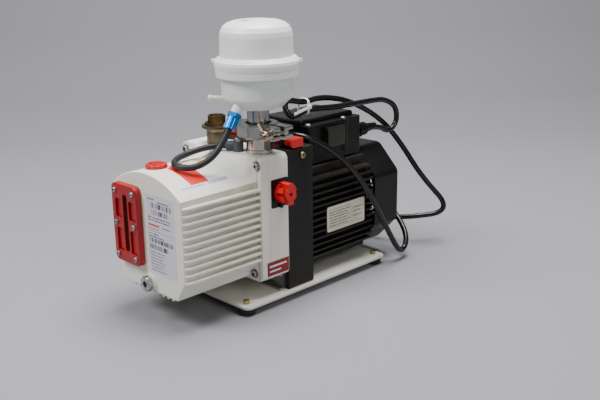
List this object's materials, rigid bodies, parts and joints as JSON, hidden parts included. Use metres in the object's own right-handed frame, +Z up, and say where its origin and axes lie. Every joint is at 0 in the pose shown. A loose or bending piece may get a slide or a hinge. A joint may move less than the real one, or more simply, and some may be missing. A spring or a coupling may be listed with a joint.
{
  "type": "rotary vane vacuum pump",
  "caption": "Motor-driven oil-sealed rotary vane vacuum pump with finned oil case, sight glass, clamped exhaust filter, oil return hose and mains cord.",
  "frame": {"origin": "on the ground under the centre of the base plate, between the four feet", "axes": "+Y runs from the oil case at the front to the fan cover at the rear, along the shaft; +Z is up; +X is the side with the gas ballast knob"},
  "size_m": [0.266, 0.5006, 0.366],
  "materials": {
    "white_paint": "semi-gloss cream white enamel",
    "black_paint": "satin black enamel",
    "black_plastic": "fine grained black plastic",
    "red_plastic": "semi-gloss red plastic",
    "smoke_clear": "smoky clear plastic",
    "sight_glass": "clear glass, oil behind it",
    "zinc_steel": "zinc plated steel",
    "yellow_zinc": "yellow passivated steel",
    "bright_steel": "turned stainless steel",
    "dull_steel": "stained steel",
    "brown_brass": "tarnished brass",
    "aluminium": "machined aluminium",
    "nickel": "nickel plated",
    "milky_plastic": "translucent milky plastic",
    "white_plastic": "white plastic",
    "filter_fibre": "pressed glass fibre",
    "blue_anodised": "blue anodised aluminium",
    "grey_plastic": "grey plastic",
    "black_rubber": "smooth black rubber",
    "gasket": "pressed gasket sheet",
    "cast_iron": "machined cast iron",
    "ground_steel": "ground steel",
    "vane_resin": "reinforced resin",
    "lamination": "varnished laminations",
    "plate_cream": "printed cream foil plate"
  },
  "bodies": {
    "pump": {"ballast_plate": "black_plastic", "base_plate": "white_paint", "cable_gland": "black_plastic", "cable_tie": "white_plastic", "case_screws": "zinc_steel", "centering_ring": "black_rubber", "clamp_jaw_far": "aluminium", "clamp_jaw_near": "aluminium", "cord_hank": "black_rubber", "cylinder_end_plate": "cast_iron", "drain_nipple": "white_plastic", "exhaust_port": "bright_steel", "exhaust_tube": "bright_steel", "fan_cover": "black_plastic", "filter_bowl": "milky_plastic", "filter_element": "filter_fibre", "flange_screws": "yellow_zinc", "flat_gaskets": "gasket", "foot_screws": "yellow_zinc", "hose_elbow": "grey_plastic", "hose_fitting": "blue_anodised", "inlet_nipple": "brown_brass", "inlet_port": "dull_steel", "lid_screws": "zinc_steel", "mains_plug": "black_rubber", "motor_bearings": "ground_steel", "motor_flange": "black_paint", "motor_housing": "black_paint", "motor_nameplate": "plate_cream", "motor_stator": "lamination", "oil_case": "white_paint", "oil_return_hose": "black_rubber", "power_cord": "black_rubber", "pump_block": "white_paint", "pump_cylinder": "cast_iron", "rubber_feet": "black_rubber", "shaft_seal": "black_rubber", "sight_frame": "red_plastic", "sight_glass": "sight_glass", "sight_screws": "zinc_steel", "support_bracket": "aluminium", "terminal_box": "black_plastic", "terminal_lid": "black_plastic"},
    "drive": {"pump_rotor": "ground_steel", "shaft_coupling": "aluminium", "motor_rotor": "ground_steel", "cooling_fan": "black_plastic", "vane_springs": "ground_steel"},
    "vane_left": {"vane_left": "vane_resin"},
    "vane_right": {"vane_right": "vane_resin"},
    "ballast_knob": {"ballast_knob": "red_plastic"},
    "oil_fill_plug": {"oil_fill_plug": "red_plastic"},
    "oil_drain_plug": {"oil_drain_plug": "zinc_steel"},
    "swing_bolt": {"swing_bolt": "nickel"},
    "wing_nut": {"wing_nut": "nickel"},
    "filter_lid": {"filter_lid": "white_plastic"},
    "rocker_switch": {"rocker_switch": "black_plastic"},
    "switch_flap": {"switch_flap": "smoke_clear"},
    "carry_handle": {"carry_handle": "red_plastic"},
    "exhaust_valve": {"exhaust_valve": "ground_steel"}
  },
  "joints": [
    {"name": "shaft_spin", "type": "hinge", "parent": "pump", "child": "drive", "pos_m": [0, 0, 0.095], "axis": [0, 1, 0], "continuous": true},
    {"name": "vane_left_slide", "type": "slide", "parent": "drive", "child": "vane_left", "axis": [-1, 0, 0], "range_m": [0, 0.004]},
    {"name": "vane_right_slide", "type": "slide", "parent": "drive", "child": "vane_right", "axis": [1, 0, 0], "range_m": [0, 0.004]},
    {"name": "valve_lift", "type": "hinge", "parent": "pump", "child": "exhaust_valve", "pos_m": [0.034, -0.127, 0.1303], "axis": [0, 1, 0], "range_deg": [0, 8], "stiffness_Nm_per_rad": 0.05},
    {"name": "ballast_turn", "type": "hinge", "parent": "pump", "child": "ballast_knob", "pos_m": [0.0773, -0.068, 0.151], "axis": [1, 0, 0], "range_deg": [0, 90]},
    {"name": "fill_plug_lift", "type": "slide", "parent": "pump", "child": "oil_fill_plug", "axis": [0, 0, 1], "range_m": [0, 0.03]},
    {"name": "drain_plug_pull", "type": "slide", "parent": "pump", "child": "oil_drain_plug", "axis": [0, -1, 0], "range_m": [0, 0.03]},
    {"name": "bolt_swing", "type": "hinge", "parent": "pump", "child": "swing_bolt", "pos_m": [0.0875, -0.0683, 0.23], "axis": [0, 0, 1], "range_deg": [0, 100]},
    {"name": "wing_nut_turn", "type": "hinge", "parent": "swing_bolt", "child": "wing_nut", "pos_m": [0.0875, -0.0993, 0.23], "axis": [0, 1, 0], "continuous": true},
    {"name": "filter_lid_lift", "type": "slide", "parent": "pump", "child": "filter_lid", "axis": [0, 0, 1], "range_m": [0, 0.06]},
    {"name": "rocker_tilt", "type": "hinge", "parent": "pump", "child": "rocker_switch", "pos_m": [0.047, 0.059, 0.198], "axis": [0, -1, 0], "range_deg": [0, 13]},
    {"name": "flap_swing", "type": "hinge", "parent": "pump", "child": "switch_flap", "pos_m": [0.0522, 0.05875, 0.2117], "axis": [0, -1, 0], "range_deg": [0, 95]},
    {"name": "handle_swing", "type": "hinge", "parent": "pump", "child": "carry_handle", "pos_m": [0, -0.043, 0.2085], "axis": [1, 0, 0], "range_deg": [0, 90]}
  ]
}
